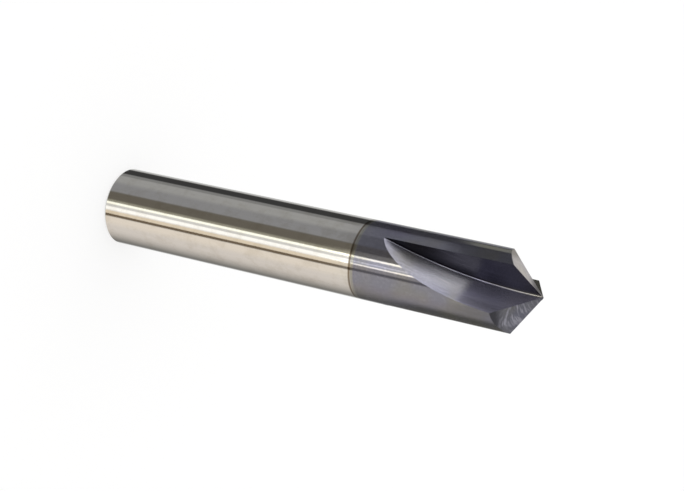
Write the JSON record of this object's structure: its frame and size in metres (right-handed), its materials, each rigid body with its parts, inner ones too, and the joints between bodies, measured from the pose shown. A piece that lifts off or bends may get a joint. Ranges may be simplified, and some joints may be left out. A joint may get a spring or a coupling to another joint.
{
  "type": "chamfer mill",
  "caption": "One-piece solid carbide chamfer mill: plain cylindrical shank, coated head, straight ground flutes and a point of flat relieved facets.",
  "frame": {"origin": "centre of the flat rear end of the shank, on which the mill stands", "axes": "+Z along the mill's axis from the rear end to the point; -Y is the side that the picture shows, and -X is its upper side in the picture"},
  "size_m": [0.012, 0.012, 0.073],
  "materials": {
    "carbide": "ground tungsten carbide, bright on the shank, with a thin dark violet-grey coating on the head"
  },
  "bodies": {
    "root": {"chamfer_mill": "carbide"}
  },
  "joints": []
}
